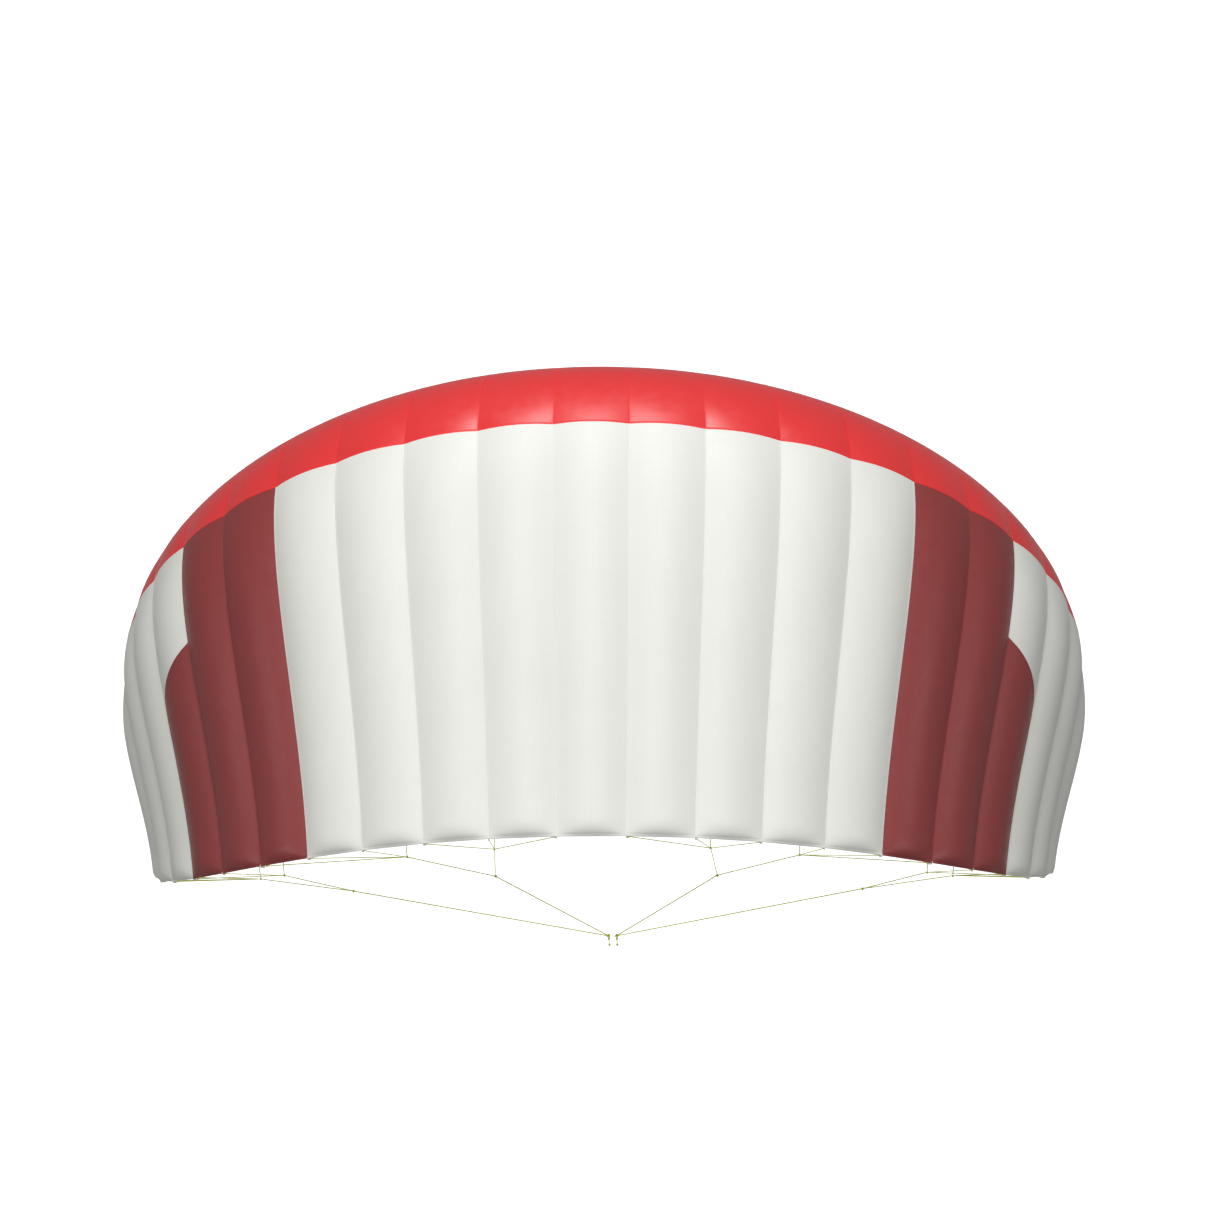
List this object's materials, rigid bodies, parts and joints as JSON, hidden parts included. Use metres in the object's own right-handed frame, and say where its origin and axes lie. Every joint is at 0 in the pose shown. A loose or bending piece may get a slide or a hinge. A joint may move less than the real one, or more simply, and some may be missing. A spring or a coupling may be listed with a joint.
{
  "type": "kitesurf kite",
  "caption": "Arched ram-air foil kite: sewn cloth cells blown up through mouths under the nose, with a cascaded line bridle on each half that ends in a tow pigtail.",
  "frame": {"origin": "midway between the two tow knots, where the bridles end", "axes": "+X across the span to the right half, +Y towards the leading edge, +Z from the pilot to the canopy"},
  "size_m": [2.3964, 1.1581, 2.0097],
  "materials": {
    "white_cloth": "satin",
    "dark_red_cloth": "satin",
    "red_cloth": "satin",
    "lower_cloth": "satin",
    "rib_cloth": "satin",
    "hem_tape": "matte",
    "tab_webbing": "matte",
    "bridle_line": "matte",
    "tow_line": "matte"
  },
  "bodies": {
    "centre_cell": {"centre_top_panel": "white_cloth", "centre_bottom_panel": "lower_cloth", "centre_leading_edge_panel": "red_cloth", "centre_trailing_edge_tape": "hem_tape"},
    "left_wing": {"left_top_panel_1": "white_cloth", "left_top_panel_2": "white_cloth", "left_top_panel_3": "white_cloth", "left_top_panel_4": "white_cloth", "left_top_panel_5": "dark_red_cloth", "left_top_panel_6": "dark_red_cloth", "left_top_panel_7": "dark_red_cloth", "left_top_panel_8": "white_cloth", "left_top_panel_9": "white_cloth", "left_top_panel_10": "white_cloth", "left_bottom_panels": "lower_cloth", "left_leading_edge_panels": "red_cloth", "left_trailing_edge_tape": "hem_tape", "left_ribs": "rib_cloth", "left_tip_panel": "lower_cloth", "left_line_tabs": "tab_webbing", "left_bridle_row_a": "bridle_line", "left_bridle_row_b": "bridle_line", "left_bridle_row_c": "bridle_line", "left_bridle_front_lines": "bridle_line", "left_bridle_mid_lines": "bridle_line", "left_bridle_main_lines": "bridle_line", "left_bridle_knots": "bridle_line", "left_tow_knot": "bridle_line"},
    "left_tow_loop": {"left_tow_loop": "tow_line"},
    "left_pigtail": {"left_larks_head": "tow_line", "left_pigtail_line": "tow_line", "left_stopper_knot": "tow_line"},
    "right_wing": {"right_top_panel_1": "white_cloth", "right_top_panel_2": "white_cloth", "right_top_panel_3": "white_cloth", "right_top_panel_4": "white_cloth", "right_top_panel_5": "dark_red_cloth", "right_top_panel_6": "dark_red_cloth", "right_top_panel_7": "dark_red_cloth", "right_top_panel_8": "white_cloth", "right_top_panel_9": "white_cloth", "right_top_panel_10": "white_cloth", "right_bottom_panels": "lower_cloth", "right_leading_edge_panels": "red_cloth", "right_trailing_edge_tape": "hem_tape", "right_ribs": "rib_cloth", "right_tip_panel": "lower_cloth", "right_line_tabs": "tab_webbing", "right_bridle_row_a": "bridle_line", "right_bridle_row_b": "bridle_line", "right_bridle_row_c": "bridle_line", "right_bridle_front_lines": "bridle_line", "right_bridle_mid_lines": "bridle_line", "right_bridle_main_lines": "bridle_line", "right_bridle_knots": "bridle_line", "right_tow_knot": "bridle_line"},
    "right_tow_loop": {"right_tow_loop": "tow_line"},
    "right_pigtail": {"right_larks_head": "tow_line", "right_pigtail_line": "tow_line", "right_stopper_knot": "tow_line"}
  },
  "joints": [
    {"name": "left_wing_opening", "type": "hinge", "parent": "centre_cell", "child": "left_wing", "pos_m": [-0.07798, 0, 1.73036], "axis": [0, 1, 0], "range_deg": [0, 8], "deforming": ["centre_top_panel", "centre_leading_edge_panel"]},
    {"name": "left_tow_loop_swing", "type": "hinge", "parent": "left_wing", "child": "left_tow_loop", "pos_m": [-0.011, 0, 0], "axis": [1, 0, 0], "range_deg": [-60, 60]},
    {"name": "left_pigtail_swing", "type": "hinge", "parent": "left_tow_loop", "child": "left_pigtail", "pos_m": [-0.011, 0, -0.028], "axis": [0, 1, 0], "range_deg": [-6, 60]},
    {"name": "right_wing_opening", "type": "hinge", "parent": "centre_cell", "child": "right_wing", "pos_m": [0.07798, 0, 1.73036], "axis": [0, -1, 0], "range_deg": [0, 8], "deforming": ["centre_top_panel", "centre_leading_edge_panel"]},
    {"name": "right_tow_loop_swing", "type": "hinge", "parent": "right_wing", "child": "right_tow_loop", "pos_m": [0.011, 0, 0], "axis": [1, 0, 0], "range_deg": [-60, 60]},
    {"name": "right_pigtail_swing", "type": "hinge", "parent": "right_tow_loop", "child": "right_pigtail", "pos_m": [0.011, 0, -0.028], "axis": [0, -1, 0], "range_deg": [-6, 60]}
  ]
}
